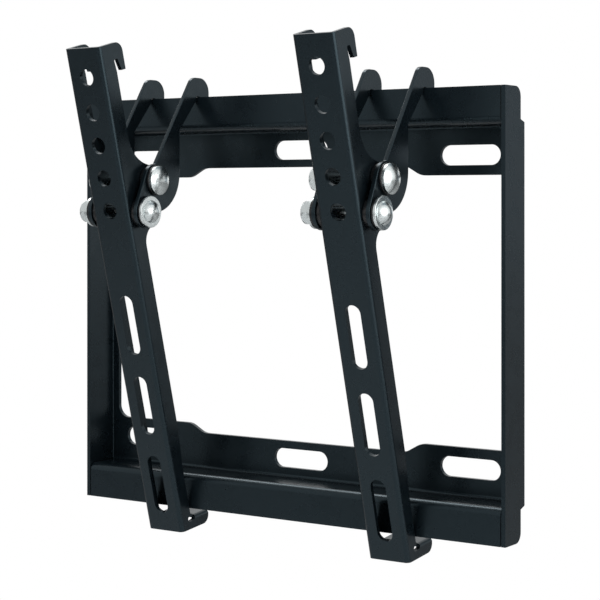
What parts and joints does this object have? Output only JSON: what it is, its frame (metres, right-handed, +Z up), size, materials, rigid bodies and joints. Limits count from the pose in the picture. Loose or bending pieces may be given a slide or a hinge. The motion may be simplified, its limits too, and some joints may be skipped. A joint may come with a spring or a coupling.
{
  "type": "tilting tv wall bracket",
  "caption": "Folded steel wall plate with channel arms hooked over its top rail; the arms slide along the rail to suit the screen and tilt on a pivot bolt with a curved slot.",
  "frame": {"origin": "middle of the wall plate's slot pattern, on the plate's back face, which is the wall's surface", "axes": "+X along the wall to the right seen from the room, +Y into the wall, +Z up"},
  "size_m": [0.2366, 0.0872, 0.2327],
  "materials": {
    "black_powder_coat": "satin",
    "zinc_plated_steel": "polished",
    "black_nylon": "satin"
  },
  "bodies": {
    "wall_plate": {"wall_plate": "black_powder_coat"},
    "left_hanger": {"left_inner_hook_plate": "black_powder_coat", "left_outer_hook_plate": "black_powder_coat", "left_pivot_bolt": "zinc_plated_steel", "left_tilt_screw": "zinc_plated_steel", "left_tilt_steel_washer": "zinc_plated_steel", "left_pivot_nut": "zinc_plated_steel", "left_pivot_head_washer": "black_nylon", "left_pivot_nut_washer": "black_nylon", "left_pivot_head_spacer": "black_nylon", "left_pivot_nut_spacer": "black_nylon", "left_tilt_nut": "zinc_plated_steel", "left_tilt_head_washer": "black_nylon", "left_tilt_nut_washer": "black_nylon", "left_tilt_head_spacer": "black_nylon", "left_tilt_nut_spacer": "black_nylon"},
    "left_tilt_arm": {"left_arm": "black_powder_coat"},
    "right_hanger": {"right_inner_hook_plate": "black_powder_coat", "right_outer_hook_plate": "black_powder_coat", "right_pivot_bolt": "zinc_plated_steel", "right_tilt_screw": "zinc_plated_steel", "right_tilt_steel_washer": "zinc_plated_steel", "right_pivot_nut": "zinc_plated_steel", "right_pivot_head_washer": "black_nylon", "right_pivot_nut_washer": "black_nylon", "right_pivot_head_spacer": "black_nylon", "right_pivot_nut_spacer": "black_nylon", "right_tilt_nut": "zinc_plated_steel", "right_tilt_head_washer": "black_nylon", "right_tilt_nut_washer": "black_nylon", "right_tilt_head_spacer": "black_nylon", "right_tilt_nut_spacer": "black_nylon"},
    "right_tilt_arm": {"right_arm": "black_powder_coat"}
  },
  "joints": [
    {"name": "left_slide", "type": "slide", "parent": "wall_plate", "child": "left_hanger", "axis": [1, 0, 0], "range_m": [-0.0368, 0.0257]},
    {"name": "left_tilt", "type": "hinge", "parent": "left_hanger", "child": "left_tilt_arm", "pos_m": [-0.0632, -0.05161, 0.059], "axis": [1, 0, 0], "range_deg": [-15, 0]},
    {"name": "right_slide", "type": "slide", "parent": "wall_plate", "child": "right_hanger", "axis": [1, 0, 0], "range_m": [-0.0257, 0.0368]},
    {"name": "right_tilt", "type": "hinge", "parent": "right_hanger", "child": "right_tilt_arm", "pos_m": [0.0632, -0.05161, 0.059], "axis": [1, 0, 0], "range_deg": [-15, 0]}
  ]
}
